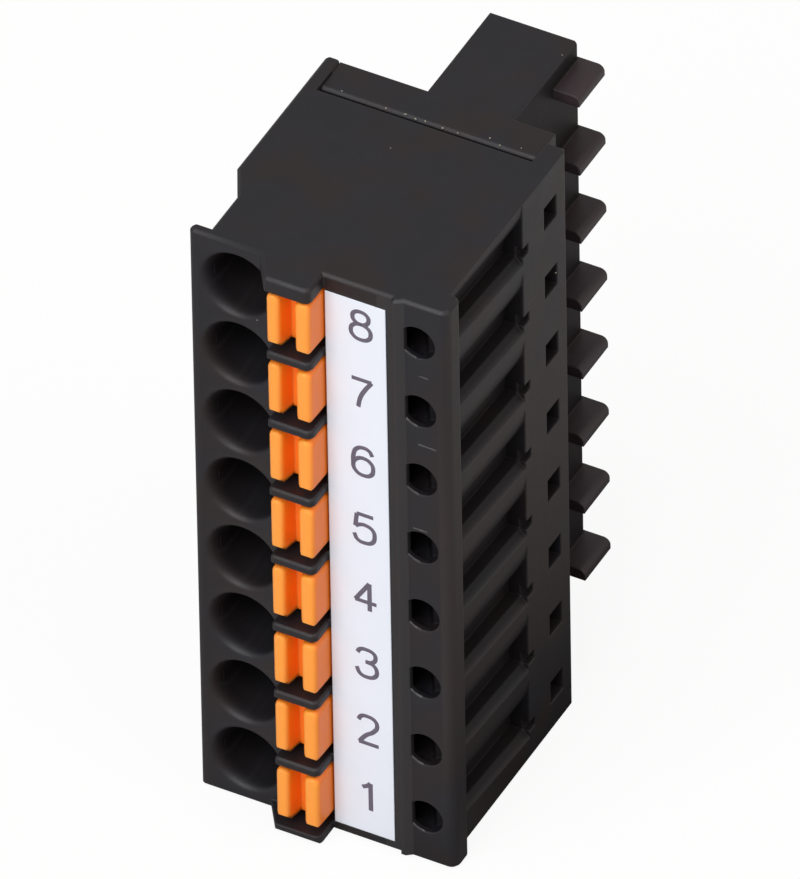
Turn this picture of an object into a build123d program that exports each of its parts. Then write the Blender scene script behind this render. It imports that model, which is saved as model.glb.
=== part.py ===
from build123d import *
from math import cos, radians, sin
import os

# Pluggable terminal block with eight push-in poles, in millimetres.
# X runs across the block, Y runs in from the wire side to the plug nose, and Z runs up the row of poles.
# The shapes are drawn from the front left corner of the end wall that the block stands on, and each
# is exported from the middle of that end wall's footprint.

# Row of poles
poles = 8
pitch = 3.5
end_margin = 2.125
chamber_height = 2.8

# Housing in plan
body_width = 10.77
left_depth = 11.48
right_depth = 10.75
left_wall = 0.6
right_wall = 0.79
flange_thickness = 0.5
notch_depth = 0.78
notch_length = 2.07
ramp_length = 1.46
bead_proud = 0.45
bead_depth = 1.25
bead_round = 0.4
front_corner_round = 0.22
rear_corner_round = 0.2
edge_break = 0.12

# Wire entries
wire_x = 2.05
wire_bore_radius = 1.1
mouth_round = 0.55
mouth_bands = 3

# Lever column: the hoods at its ends and the partitions between the levers
column_foot_x = 3.1
column_left = 3.92
column_reach = 1.2
column_corner_round = 0.3
hood_edge_break = 0.24
partition_thickness = 0.42
partition_drop = 0.1
partition_edge_break = 0.08
lever_wall = 1.35
chamber_front = 4.6

# Release levers
lever_left = 3.97
lever_right = 5.86
lever_front = 1.27
left_ridge_width = 0.54
right_ridge_width = 0.62
ridge_round = 0.28
ridge_flat = 0.02
ridge_end_break = 0.22
groove_depth = 0.85
groove_draft = 0.16
lever_height = 2.56
lever_below_pole = 1.22
lever_clearance = 0.06
shoulder_width = 0.65
shoulder_length = 0.85
lever_nose_width = 0.92
lever_nose_break = 0.25
stem_end = 4.2

# Marker strip
marker_left = 5.93
marker_width = 2.62
marker_thickness = 0.3
marker_proud = 0.03
marker_low_margin = 0.51
marker_high_margin = 0.79

# Rail and test holes
rail_left = 8.82
rail_width = 0.51
rail_proud = 0.18
rail_left_slope = 0.09
rail_right_slope = 0.24
test_hole_radius = 0.78
test_hole_offset = 0.57
test_hole_mouth = 0.57
probe_undercut = 0.28
probe_width = 1.1
probe_height = 2.0
probe_slant = 0.65

# Side pockets and latch windows
pocket_rear = 7.1
pocket_rear_drop = 0.72
pocket_front_drop = 0.25
pocket_front_scale = 0.93
pocket_depth = 0.9
pocket_bevel = 0.34
pocket_wall = 1.2
pocket_eave = 1.57
pocket_eave_bands = 4
pocket_notch_length = 0.45
pocket_notch_height = 0.5
window_front = 8.85
window_length = 1.05
window_height = 1.15
window_drop = 0.12

# Contact carrier
carrier_front = 9.05
carrier_rear = 11.4
carrier_clearance = 0.07
tongue_front = 9.75
tongue_slot = 0.33
tongue_inset = 0.12
tongue_bevel = 0.12
nose_left = 4.42
nose_width = 3.78
nose_tip = 16.75
nose_low_margin = 1.8
nose_round = 0.18
nose_tip_break = 0.15
rib_reach = 1.12
rib_thickness = 0.5
rib_length = 2.15
rib_round = 0.3
catch_reach = 0.35
pin_gate_thickness = 0.55
pin_gate_width = 1.3
pin_gate_height = 1.2
pin_gate_bevel = 0.2

# Contacts
contact_stock = 0.3
contact_wall_gap = 0.1
bar_width = 1.3
fork_width = 1.0
fork_rise = 0.85
bar_x = 1.15
bar_front = 4.95
link_y = 8.7
fork_bend_y = 13.4
fork_pinch_y = 15.2
fork_end_y = 16.0
fork_pinch_gap = 0.45
fork_mouth_gap = 1.15

# Clamp springs
spring_stock = 0.25
spring_width = 2.2
spring_back_x = 9.0
spring_back_y = 8.2
spring_bend_y = 5.15
spring_bend_x = 6.6
spring_tip_x = 1.62
spring_tip_y = 7.75
spring_bend_round = 0.9

# Worked out from the sizes above
overlap = 0.2
centre_x = (body_width + bead_proud) / 2
centre_y = (nose_tip - max(lever_front, column_reach)) / 2
block_height = (poles - 1) * pitch + 2 * end_margin
end_wall = end_margin - chamber_height / 2
pole_heights = [end_margin + i * pitch for i in range(poles)]
partition_low = -pitch / 2 - partition_drop - partition_thickness / 2
partition_high = partition_low + partition_thickness
rail_right = rail_left + rail_width
right_inner = body_width - right_wall
rib_low = fork_rise - rib_thickness / 2
rib_high = fork_rise + rib_thickness / 2
fork_low = fork_rise - fork_width / 2
fork_high = fork_rise + fork_width / 2
channel_wall = contact_wall_gap + contact_stock / 2
nose_right = nose_left + nose_width
nose_middle = nose_left + nose_width / 2
lever_window_left = lever_left - lever_clearance
shoulder_right = lever_right + shoulder_width
lever_end = spring_bend_y + (spring_bend_x - lever_left - lever_nose_width) * (
    (spring_tip_y - spring_bend_y) / (spring_bend_x - spring_tip_x)
) - spring_stock / 2 - 2 * lever_clearance
chamber_left = bar_x - contact_stock / 2 - contact_wall_gap
chamber_right = spring_back_x + spring_stock / 2 + contact_wall_gap
chamber_rear = carrier_front - carrier_clearance


def box_between(low, high):
    """A box between its lowest and its highest corner."""
    size = [b - a for a, b in zip(low, high)]
    return Pos(*low) * Box(*size, align=(Align.MIN, Align.MIN, Align.MIN))


def rounded_face(points, rounds):
    """A flat outline whose named corners are rounded: rounds holds pairs of corner and radius."""
    face = Sketch() + Polygon(*points, align=None)
    for corner, radius in rounds:
        vertex = face.vertices().sort_by_distance((*corner, 0))[0]
        face = fillet(vertex, radius)
    return face


def prism(points, low, high, rounds=()):
    """A solid over an outline in plan, from one height to another."""
    return Pos(0, 0, low) * extrude(rounded_face(points, rounds), high - low)


def strip_along(path, stock, low, high):
    """A bent sheet-metal strip: a path in plan given a thickness, from one height to another."""
    return Pos(0, 0, low) * extrude(trace(path, stock), high - low)


def front_wedges(front, low, high, edge_break, left, right):
    """Two wedges that break the lower and the upper edge of a front face between two sides."""
    wedges = []
    for end, inward in ((low, 1), (high, -1)):
        corners = [
            (front - overlap, end - inward * overlap),
            (front + edge_break + overlap, end - inward * overlap),
            (front - overlap, end + inward * (edge_break + overlap)),
        ]
        section = Plane.YZ * Polygon(*corners, align=None)
        wedges.append(Pos(left - overlap, 0, 0) * extrude(section, right - left + 2 * overlap))
    return wedges


# Housing

def housing_body():
    """The outer block with its flange, finger notch, rail and right-hand bead."""
    notch_end = flange_thickness + notch_length
    bead_right = body_width + bead_proud
    outline = [
        (0, 0),
        (rail_left, 0),
        (rail_left + rail_left_slope, -rail_proud),
        (rail_right - rail_right_slope, -rail_proud),
        (rail_right, 0),
        (bead_right, 0),
        (bead_right, bead_depth),
        (body_width, bead_depth),
        (body_width, right_depth),
        (left_wall, right_depth),
        (left_wall, left_depth),
        (0, left_depth),
        (0, notch_end + ramp_length),
        (notch_depth, notch_end),
        (notch_depth, flange_thickness),
        (0, flange_thickness),
    ]
    rounds = [
        ((0, 0), front_corner_round),
        ((0, flange_thickness), front_corner_round),
        ((bead_right, 0), bead_round),
        ((bead_right, bead_depth), bead_round),
        ((body_width, right_depth), rear_corner_round),
        ((0, left_depth), rear_corner_round),
        ((left_wall, left_depth), rear_corner_round),
    ]
    return prism(outline, 0, block_height, rounds)


def column_slab(low, high, foot_x):
    """A hood or a partition of the lever column, from one height to another."""
    outline = [
        (foot_x, overlap),
        (foot_x, 0),
        (column_left, -column_reach),
        (lever_right, -column_reach),
        (lever_right, overlap),
    ]
    rounds = [
        ((column_left, -column_reach), column_corner_round / 2),
        ((lever_right, -column_reach), column_corner_round),
    ]
    return prism(outline, low, high, rounds)


def partitions():
    """The thin walls between neighbouring levers, with their front edges broken."""
    slab = column_slab(partition_low, partition_high, column_left)
    front_faces = slab.faces().filter_by(Axis.Y).sort_by(Axis.Y)[0]
    level_edges = front_faces.edges().filter_by(Axis.X)
    slab = chamfer(level_edges, partition_edge_break)
    return [Pos(0, 0, z) * slab for z in pole_heights[1:]]


def wire_entry():
    """The trumpet mouth and the bore that guide a wire into the clamp."""
    mouth_radius = wire_bore_radius + mouth_round
    turns = [radians(90 * i / mouth_bands) for i in range(mouth_bands + 1)]
    lip = [(mouth_radius - mouth_round * sin(a), mouth_round * (1 - cos(a))) for a in turns]
    bore_end = chamber_front + overlap
    points = [(0, -overlap), (mouth_radius, -overlap)] + lip + [(wire_bore_radius, bore_end), (0, bore_end)]
    return Pos(wire_x, 0, 0) * revolve(Polygon(*points, align=None), Axis.Y)


def lever_channel():
    """The window in the front wall for one lever, and the wider channel for its shoulder behind it."""
    window = box_between(
        (lever_window_left, -column_reach - overlap, partition_high),
        (marker_left, lever_wall, partition_low + pitch),
    )
    half = chamber_height / 2
    channel = box_between(
        (lever_window_left, lever_wall, -half),
        (shoulder_right + lever_clearance, chamber_front + overlap, half),
    )
    return window + channel


def clamp_chamber():
    """The space behind the front wall where the spring clamps the wire."""
    half = chamber_height / 2
    return box_between((chamber_left, chamber_front, -half), (chamber_right, chamber_rear + overlap, half))


def test_hole():
    """The D-shaped test hole beside the rail, and the taller channel that slants in from it to the clamp."""
    disc = Pos(rail_right + test_hole_offset, 0) * Circle(test_hole_radius)
    beside_rail = (Align.MIN, Align.CENTER)
    side = Pos(rail_right, 0) * Rectangle(2 * test_hole_radius, 2 * test_hole_radius, align=beside_rail)
    depth = test_hole_mouth + overlap
    mouth = Pos(0, depth, 0) * extrude(Plane.XZ * (disc & side), depth + overlap)
    section = Rectangle(probe_width, probe_height, align=beside_rail)
    start = Pos(rail_right - probe_undercut, test_hole_mouth, 0) * (Plane.XZ * section)
    reach = chamber_front + overlap - test_hole_mouth
    slant = Vector(-probe_slant, 1, 0)
    return mouth + extrude(start, reach * slant.length, dir=slant.normalized())


def pocket_section(depth, drop, scale):
    """Section of a side pocket at one depth along the block: bevelled ledge, wall and rounded eave."""
    turns = [radians(90 * i / pocket_eave_bands) for i in range(pocket_eave_bands + 1)]
    profile = [(-overlap, -pocket_bevel - overlap), (pocket_bevel, 0), (pocket_depth, 0)]
    profile += [
        (pocket_depth * (1 - sin(a)), pocket_wall + pocket_eave * (1 - cos(a))) for a in turns
    ]
    profile += [(-overlap, pocket_wall + pocket_eave)]
    points = [(body_width - scale * inward, scale * rise - drop) for inward, rise in profile]
    return Pos(0, depth, 0) * (Plane.XZ * Polygon(*points, align=None))


def side_pocket():
    """The tapering pocket in the right-hand side beside one pole, with its small rear notch."""
    front = pocket_section(bead_depth, pocket_front_drop, pocket_front_scale)
    rear = pocket_section(pocket_rear, pocket_rear_drop, 1)
    pocket = loft([front, rear], ruled=True)
    notch = box_between(
        (body_width - pocket_bevel, pocket_rear - overlap, -pocket_rear_drop),
        (body_width + overlap, pocket_rear + pocket_notch_length, pocket_notch_height - pocket_rear_drop),
    )
    return pocket + notch


def latch_window():
    """The small window in the right-hand wall that the carrier's catch snaps into."""
    return box_between(
        (right_inner - overlap, window_front, -window_drop - window_height / 2),
        (body_width + overlap, window_front + window_length, -window_drop + window_height / 2),
    )


def carrier_bay():
    """The open rear of the housing, with the gaps in both end walls for the carrier's tongues."""
    rear = max(left_depth, right_depth) + overlap
    tongue_gap = tongue_front - tongue_slot
    bay = box_between((left_wall, chamber_rear, end_wall), (right_inner, rear, block_height - end_wall))
    through = box_between((left_wall, tongue_gap, -overlap), (right_inner, rear, block_height + overlap))
    return bay + through


def marker_recess():
    """The shallow bed of the marker strip."""
    return box_between(
        (marker_left, -overlap, marker_low_margin),
        (marker_left + marker_width, marker_thickness - marker_proud, block_height - marker_high_margin),
    )


def make_housing():
    """The housing as one moulding."""
    hood_low = column_slab(0, pole_heights[0] + partition_high, column_foot_x)
    hood_high = column_slab(pole_heights[-1] + partition_low + pitch, block_height, column_foot_x)
    body = housing_body() + hood_low + hood_high
    top_edges = body.faces().sort_by(Axis.Z)[-1].outer_wire().edges()
    bottom_edges = body.faces().sort_by(Axis.Z)[0].outer_wire().edges()
    body = chamfer(top_edges + bottom_edges, edge_break)
    hood_wedges = front_wedges(-column_reach, 0, block_height, hood_edge_break, column_foot_x, lever_right)
    body = body + partitions() - hood_wedges
    pole_cut = wire_entry() + lever_channel() + clamp_chamber()
    pole_cut = pole_cut + test_hole() + side_pocket() + latch_window()
    body = body - [Pos(0, 0, z) * pole_cut for z in pole_heights]
    return body - carrier_bay() - marker_recess()


# Contact carrier

def nose_rib():
    """One coding rib on the nose, running in from its tip."""
    outline = [
        (nose_right - overlap, rib_low),
        (nose_right + rib_reach, rib_low),
        (nose_right + rib_reach, rib_high),
        (nose_right - overlap, rib_high),
    ]
    corner = (nose_right + rib_reach, rib_high)
    section = rounded_face(outline, [(corner, rib_round)])
    return Pos(0, nose_tip, 0) * extrude(Plane.XZ * section, rib_length)


def contact_channel():
    """The channel for one contact through the carrier, with the bevelled gate for the header pin."""
    wall = (nose_width - fork_span()) / 2 - channel_wall
    channel = box_between(
        (nose_left + wall, carrier_front - overlap, fork_low - contact_wall_gap),
        (nose_right - wall, nose_tip - pin_gate_thickness, fork_high + contact_wall_gap),
    )
    gate_low = fork_rise - pin_gate_height / 2
    gate = box_between(
        (nose_middle - pin_gate_width / 2, nose_tip - pin_gate_thickness - overlap, gate_low),
        (nose_middle + pin_gate_width / 2, nose_tip + overlap, gate_low + pin_gate_height),
    )
    inner = Rectangle(pin_gate_width, pin_gate_height)
    outer = Rectangle(pin_gate_width + 2 * pin_gate_bevel, pin_gate_height + 2 * pin_gate_bevel)
    funnel = loft([
        Pos(nose_middle, nose_tip - pin_gate_bevel, fork_rise) * (Plane.XZ * inner),
        Pos(nose_middle, nose_tip, fork_rise) * (Plane.XZ * outer),
    ])
    return channel + gate + funnel


def snap_catch():
    """The ramped catch that holds the carrier in one window of the housing."""
    side = right_inner - carrier_clearance
    catch_rear = window_front + window_length - 2 * carrier_clearance
    outline = [
        (side - overlap, carrier_front),
        (side, carrier_front),
        (side + catch_reach, catch_rear - 2 * overlap),
        (side + catch_reach, catch_rear),
        (side - overlap, catch_rear),
    ]
    half = window_height / 2 - 2 * carrier_clearance
    return prism(outline, -window_drop - half, -window_drop + half)


def make_carrier():
    """The rear moulding: plate, tongues, plug nose, coding ribs and contact channels."""
    low = end_wall + carrier_clearance
    high = block_height - low
    section = [
        (carrier_front, low),
        (tongue_front, low),
        (tongue_front, tongue_inset),
        (carrier_rear, tongue_inset),
        (carrier_rear, block_height - tongue_inset),
        (tongue_front + tongue_bevel, block_height - tongue_inset),
        (tongue_front, block_height - tongue_inset - tongue_bevel),
        (tongue_front, high),
        (carrier_front, high),
    ]
    left = left_wall + carrier_clearance
    right = right_inner - carrier_clearance
    plate = Pos(left, 0, 0) * extrude(Plane.YZ * Polygon(*section, align=None), right - left)
    nose = box_between(
        (nose_left, carrier_rear - overlap, nose_low_margin),
        (nose_right, nose_tip, block_height - tongue_inset),
    )
    nose = fillet(nose.edges().filter_by(Axis.Y).sort_by(Axis.X)[-2:], nose_round)
    nose = chamfer(nose.faces().sort_by(Axis.Y)[-1].edges(), nose_tip_break)
    body = plate + nose
    body = body + [Pos(0, 0, z) * (nose_rib() + snap_catch()) for z in pole_heights]
    return body - [Pos(0, 0, z) * contact_channel() for z in pole_heights]


# Release levers

def lever_outline():
    """Outline of a lever in plan: two round-fronted ridges, shoulder, stem and the nose on the spring."""
    ridge_front = -lever_front
    groove_floor = ridge_front + groove_depth
    shoulder_front = lever_wall + lever_clearance
    nose_right_x = lever_left + lever_nose_width
    left_inner = lever_left + left_ridge_width
    right_ridge_left = lever_right - right_ridge_width
    points = [
        (lever_left, ridge_front),
        (left_inner, ridge_front),
        (left_inner + groove_draft, groove_floor),
        (right_ridge_left - groove_draft, groove_floor),
        (right_ridge_left, ridge_front),
        (lever_right, ridge_front),
        (lever_right, shoulder_front),
        (shoulder_right, shoulder_front),
        (shoulder_right, shoulder_front + shoulder_length),
        (lever_right, shoulder_front + shoulder_length),
        (lever_right, stem_end),
        (nose_right_x, stem_end),
        (nose_right_x, lever_end - lever_nose_break),
        (nose_right_x - lever_nose_break, lever_end),
        (lever_left + lever_nose_break, lever_end),
        (lever_left, lever_end - lever_nose_break),
    ]
    left_round = min(ridge_round, left_ridge_width / 2 - ridge_flat)
    right_round = min(ridge_round, right_ridge_width / 2 - ridge_flat)
    rounds = [
        ((lever_left, ridge_front), left_round),
        ((left_inner, ridge_front), left_round),
        ((right_ridge_left, ridge_front), right_round),
        ((lever_right, ridge_front), right_round),
    ]
    return points, rounds


def make_lever(height):
    """One orange release lever at the height of its pole."""
    points, rounds = lever_outline()
    low = height - lever_below_pole
    high = low + lever_height
    lever = prism(points, low, high, rounds)
    return lever - front_wedges(-lever_front, low, high, ridge_end_break, lever_left, lever_right)


# Contacts and springs

def fork_span():
    """Distance between the middles of a fork's two tines at their root."""
    return nose_width - 4 * channel_wall - 2 * contact_wall_gap


def make_contact(height):
    """One contact: the current bar beside the wire, the link across, and the fork for the header pin."""
    bar_low = height - bar_width / 2
    link_end = nose_middle + fork_span() / 2
    bar = Polyline((bar_x, bar_front), (bar_x, link_y), (link_end, link_y))
    contact = strip_along(bar, contact_stock, bar_low, bar_low + bar_width)
    link = Polyline((nose_left, link_y), (link_end, link_y))
    contact = contact + strip_along(link, contact_stock, bar_low, height + fork_high)
    for side in (-1, 1):
        root = nose_middle + side * fork_span() / 2
        pinch = nose_middle + side * (fork_pinch_gap + contact_stock) / 2
        mouth = nose_middle + side * (fork_mouth_gap + contact_stock) / 2
        tine = Polyline((root, link_y), (root, fork_bend_y), (pinch, fork_pinch_y), (mouth, fork_end_y))
        contact = contact + strip_along(tine, contact_stock, height + fork_low, height + fork_high)
    return contact


def make_spring(height):
    """One clamp spring: its back leg on the chamber wall, the bend, and the leg that holds the wire."""
    path = FilletPolyline(
        (spring_back_x, spring_back_y),
        (spring_back_x, spring_bend_y),
        (spring_bend_x, spring_bend_y),
        (spring_tip_x, spring_tip_y),
        radius=spring_bend_round,
    )
    return strip_along(path, spring_stock, height - spring_width / 2, height + spring_width / 2)


def make_marker():
    """The marker strip that lies in the housing's bed."""
    return box_between(
        (marker_left, -marker_proud, marker_low_margin),
        (marker_left + marker_width, marker_thickness - marker_proud, block_height - marker_high_margin),
    )


def save(shape, node):
    """Writes one piece in the block's own frame."""
    export_step(Pos(-centre_x, -centre_y, 0) * shape, f"parts/{node}.step")


os.makedirs("parts", exist_ok=True)
save(make_housing(), "housing")
save(make_carrier(), "contact_carrier")
save(make_marker(), "marker_strip")
for number, pole_height in enumerate(pole_heights, start=1):
    save(make_lever(pole_height), f"release_lever_{number}")
    save(make_contact(pole_height), f"contact_{number}")
    save(make_spring(pole_height), f"clamp_spring_{number}")
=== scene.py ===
import math

import bmesh
import bpy
from bpy.props import FloatProperty, FloatVectorProperty, IntProperty, PointerProperty
from mathutils import Matrix, Vector


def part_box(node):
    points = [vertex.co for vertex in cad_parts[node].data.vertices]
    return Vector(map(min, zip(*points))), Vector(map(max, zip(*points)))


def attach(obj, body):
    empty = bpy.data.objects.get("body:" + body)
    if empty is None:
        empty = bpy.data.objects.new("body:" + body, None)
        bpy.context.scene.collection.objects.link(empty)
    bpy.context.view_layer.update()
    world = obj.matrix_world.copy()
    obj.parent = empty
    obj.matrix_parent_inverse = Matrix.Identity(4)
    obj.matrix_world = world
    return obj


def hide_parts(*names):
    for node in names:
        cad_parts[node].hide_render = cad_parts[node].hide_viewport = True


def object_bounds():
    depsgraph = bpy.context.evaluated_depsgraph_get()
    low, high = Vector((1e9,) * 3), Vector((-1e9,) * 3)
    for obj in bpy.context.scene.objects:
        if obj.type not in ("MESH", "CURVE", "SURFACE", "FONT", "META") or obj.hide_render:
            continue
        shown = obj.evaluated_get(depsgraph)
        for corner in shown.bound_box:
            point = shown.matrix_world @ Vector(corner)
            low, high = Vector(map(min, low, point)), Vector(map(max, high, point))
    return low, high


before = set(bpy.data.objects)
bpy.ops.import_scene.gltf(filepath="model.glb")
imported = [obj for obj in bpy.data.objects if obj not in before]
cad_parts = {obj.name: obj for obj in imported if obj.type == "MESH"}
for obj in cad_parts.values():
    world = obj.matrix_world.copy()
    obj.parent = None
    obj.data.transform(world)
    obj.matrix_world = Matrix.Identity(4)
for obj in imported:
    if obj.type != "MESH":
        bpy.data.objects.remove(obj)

bl_info = {
    "name": "Pluggable terminal block",
    "version": (1, 0, 0),
    "blender": (4, 5, 0),
    "location": "3D View > Sidebar > Terminal block",
    "description": "Finishes, printing and stage of an eight-pole terminal block with orange levers",
    "category": "Object",
}

CAD_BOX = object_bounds()
MM = 0.001
LEVERS = sorted(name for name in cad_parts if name.startswith("release_lever_"))
CONTACTS = sorted(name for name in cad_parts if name.startswith("contact_") and name[8:].isdigit())
SPRINGS = sorted(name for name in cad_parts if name.startswith("clamp_spring_"))
WHITE = (1.0, 1.0, 1.0, 1.0)

# Sizes and places below are in millimetres, in the part's own frame.
# The block: distance from pole to pole, heights of the poles, how far above and below it a pole's own points
# lie, the front face and the height of the block.
PITCH = 3.5
POLES = [2.125 + PITCH * number for number in range(8)]
POLE_REACH = PITCH / 2 - 0.01
FRONT_Y = -7.74
HEIGHT = 28.75

# The wire entries: their middle, the radius and depth of each ring of their lips, the same after finishing
# with the shift of the ring's middle, and how near a point lies to its ring.
WIRE_X = -3.56
LIP_RINGS = [(1.375, 0.0737), (1.174, 0.275), (1.1, 0.55)]
TIGHT_RINGS = [(1.54, 0.06, 0.0), (1.46, 0.24, 0.03), (1.33, 0.62, 0.22)]
NEAR = 0.02

# The test holes: the ends of their mouths' zone, its reach above and below the pole, the wall behind the
# mouth, the wall that finishing leaves, the rise of the mouth, and the line of the painted highlight on the
# lower lip from the zone's left end and the pole.
TEST_LEFT = 3.4
TEST_RIGHT = 5.13
TEST_REACH = 1.05
TEST_WALL = 0.57
TEST_LIP = 0.27
TEST_RISE = 0.2
TEST_LIP_LINE = [(0.36, -0.37), (0.5, -0.47), (0.68, -0.56), (0.85, -0.6)]

# The levers: their front, the groove's depth, middle and half its width, the middle and half the width of
# each ridge, and the heights of the cuts that round its ends, as shares of their radius.
LEVER_FRONT = -9.01
GROOVE_DEPTH = 0.85
GROOVE_X = -0.735
GROOVE_HALF = 0.36
RIDGES = [(-1.37, 0.27), (-0.06, 0.31)]
RIDGE_CUTS = (0.12, 0.35, 0.65, 1.0)

# The carrier's two sides, and how far each is moved out to the housing's wall.
CARRIER_SIDES = [(-4.94, -0.06), (4.3, 0.06)]

# Zones of the black mouldings, as limits along the axes. None leaves an end open. The first three get
# painted shade, the last three painted light.
POCKETS = {"X": (4.2, None), "Y": (-7.0, 2.6), "Z": (0.3, 28.2)}
BORES = {"X": (None, -1.8), "Y": (None, -3.0), "Z": (0.4, 28.0)}
NOSE_SIDE = {"X": (2.57, 2.61), "Y": (3.8, None)}
RIBS = {"X": (2.62, None), "Y": (6.7, None)}
RAIL = {"X": (2.55, 3.75), "Y": (None, -6.9), "Z": (None, 28.6)}
RIGHT_SIDE = {"X": (5.12, None)}

# The bores' left limit at the finger notch, and how much further left it is within the flange in front.
NOTCH_WALL = -4.75
FLANGE_REAR = -7.26
FLANGE_ROOM = 0.5

# The scratches: the pole, the left and right ends, the height over the pole and the drop to the right end.
SCRATCHES = [
    (6, 4.25, 5.05, 2.0, 0.02), (7, 4.35, 4.75, 2.02, 0.0), (5, 4.0, 4.6, 1.1, 0.0),
]

# Strokes of the digits, in digit widths and heights from the middle of each digit.
# A stroke is (closed, points), and a smooth line runs through its points.
STROKES = {
    1: [
        (False, [(-0.32, 0.30), (-0.10, 0.38), (0.06, 0.5)]),
        (False, [(0.06, 0.5), (0.06, 0.0), (0.06, -0.5)]),
    ],
    2: [
        (False, [(-0.45, 0.30), (-0.30, 0.46), (0.0, 0.5), (0.33, 0.42), (0.42, 0.22), (0.25, 0.0),
                 (-0.12, -0.22), (-0.42, -0.5)]),
        (False, [(-0.45, -0.5), (0.0, -0.5), (0.48, -0.5)]),
    ],
    3: [
        (False, [(-0.44, 0.32), (-0.30, 0.46), (0.0, 0.5), (0.34, 0.42), (0.40, 0.24), (0.25, 0.09),
                 (-0.06, 0.05)]),
        (False, [(-0.06, 0.05), (0.30, 0.0), (0.46, -0.22), (0.34, -0.42), (0.0, -0.5), (-0.32, -0.44),
                 (-0.48, -0.22)]),
    ],
    4: [
        (False, [(0.18, 0.5), (-0.15, 0.15), (-0.48, -0.2)]),
        (False, [(-0.5, -0.2), (0.0, -0.2), (0.5, -0.2)]),
        (False, [(0.18, 0.5), (0.18, 0.0), (0.18, -0.5)]),
    ],
    5: [
        (False, [(0.42, 0.5), (0.0, 0.5), (-0.34, 0.5)]),
        (False, [(-0.34, 0.5), (-0.38, 0.27), (-0.42, 0.03)]),
        (False, [(-0.42, 0.03), (-0.22, 0.12), (0.05, 0.15), (0.38, 0.05), (0.47, -0.18), (0.34, -0.42),
                 (0.0, -0.5), (-0.32, -0.45), (-0.48, -0.24)]),
    ],
    6: [
        (False, [(0.43, 0.28), (0.30, 0.44), (0.02, 0.5), (-0.30, 0.40), (-0.45, 0.12), (-0.46, -0.18)]),
        (True, [(-0.46, -0.18), (-0.30, 0.04), (0.02, 0.12), (0.36, 0.02), (0.46, -0.19), (0.34, -0.42),
                (0.02, -0.5), (-0.32, -0.42)]),
    ],
    7: [
        (False, [(-0.46, 0.5), (0.0, 0.5), (0.46, 0.5)]),
        (False, [(0.46, 0.5), (0.14, 0.16), (-0.08, -0.16), (-0.18, -0.5)]),
    ],
    8: [
        (True, [(0.0, 0.5), (-0.30, 0.42), (-0.37, 0.26), (-0.26, 0.11), (0.0, 0.05), (0.26, 0.11),
                (0.37, 0.26), (0.30, 0.42)]),
        (True, [(0.0, 0.05), (-0.34, -0.03), (-0.46, -0.22), (-0.34, -0.42), (0.0, -0.5), (0.34, -0.42),
                (0.46, -0.22), (0.34, -0.03)]),
    ],
}

# Specks of dust caught along the seam of the carrier's tongue and beside the strip.
SPECKS = [
    (-4.16, 2.18, 28.63), (-2.17, 2.06, 28.63), (-1.34, 2.08, 28.63), (-0.86, 2.01, 28.63),
    (-0.46, 2.06, 28.63), (0.32, 2.01, 28.63), (0.98, 2.01, 28.63), (2.22, 2.3, 28.63), (2.76, 2.1, 28.63),
    (3.57, 2.32, 28.63), (2.45, 7.89, 28.63), (5.16, 2.02, 23.12),
]

# The lamps: azimuth and elevation in degrees, distance and size in metres, and colour. Then half the floor's
# width in metres.
LAMPS = {
    "key_lamp": (-5, 44, 0.6, 0.45, (1.0, 0.99, 1.02)),
    "side_lamp": (82, 42, 0.7, 0.35, (1.0, 0.82, 0.7)),
}
FLOOR_HALF = 1.5


class BlockColours(bpy.types.PropertyGroup):
    """Colours of the block's materials."""

    black: FloatVectorProperty(
        name="Black plastic", description="Housing and contact carrier", subtype="COLOR",
        default=(0.0095, 0.0088, 0.0094), min=0, max=1)
    orange: FloatVectorProperty(
        name="Orange plastic", description="Release levers", subtype="COLOR",
        default=(0.82, 0.18, 0.006), min=0, max=1)
    # Painted highlight on the crests of the levers' ridges.
    crest_highlight: FloatVectorProperty(
        name="Highlighted orange", description="Paler crests of the levers' ridges", subtype="COLOR",
        default=(0.97, 0.34, 0.042), min=0, max=1)
    strip: FloatVectorProperty(
        name="Marker strip", description="White of the marker strip", subtype="COLOR",
        default=(0.78, 0.83, 0.90), min=0, max=1)
    ink: FloatVectorProperty(
        name="Ink", description="Printed digits", subtype="COLOR",
        default=(0.07, 0.062, 0.085), min=0, max=1)
    tin: FloatVectorProperty(
        name="Tin", description="Tin plating of the contacts", subtype="COLOR",
        default=(0.72, 0.70, 0.67), min=0, max=1)
    steel: FloatVectorProperty(
        name="Spring steel", description="Clamp springs", subtype="COLOR",
        default=(0.56, 0.56, 0.57), min=0, max=1)
    # Used for light scratches, and also for painted highlights on edges and test-hole lips and painted light
    # on the ribs, the rail and the right side.
    scuff_and_highlight: FloatVectorProperty(
        name="Scuffs and painted light", description="Rubbed lips and light scratches in the black plastic", subtype="COLOR",
        default=(0.09, 0.087, 0.09), min=0, max=1)
    dust: FloatVectorProperty(
        name="Dust", description="Specks of dust", subtype="COLOR",
        default=(0.34, 0.31, 0.25), min=0, max=1)


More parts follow.
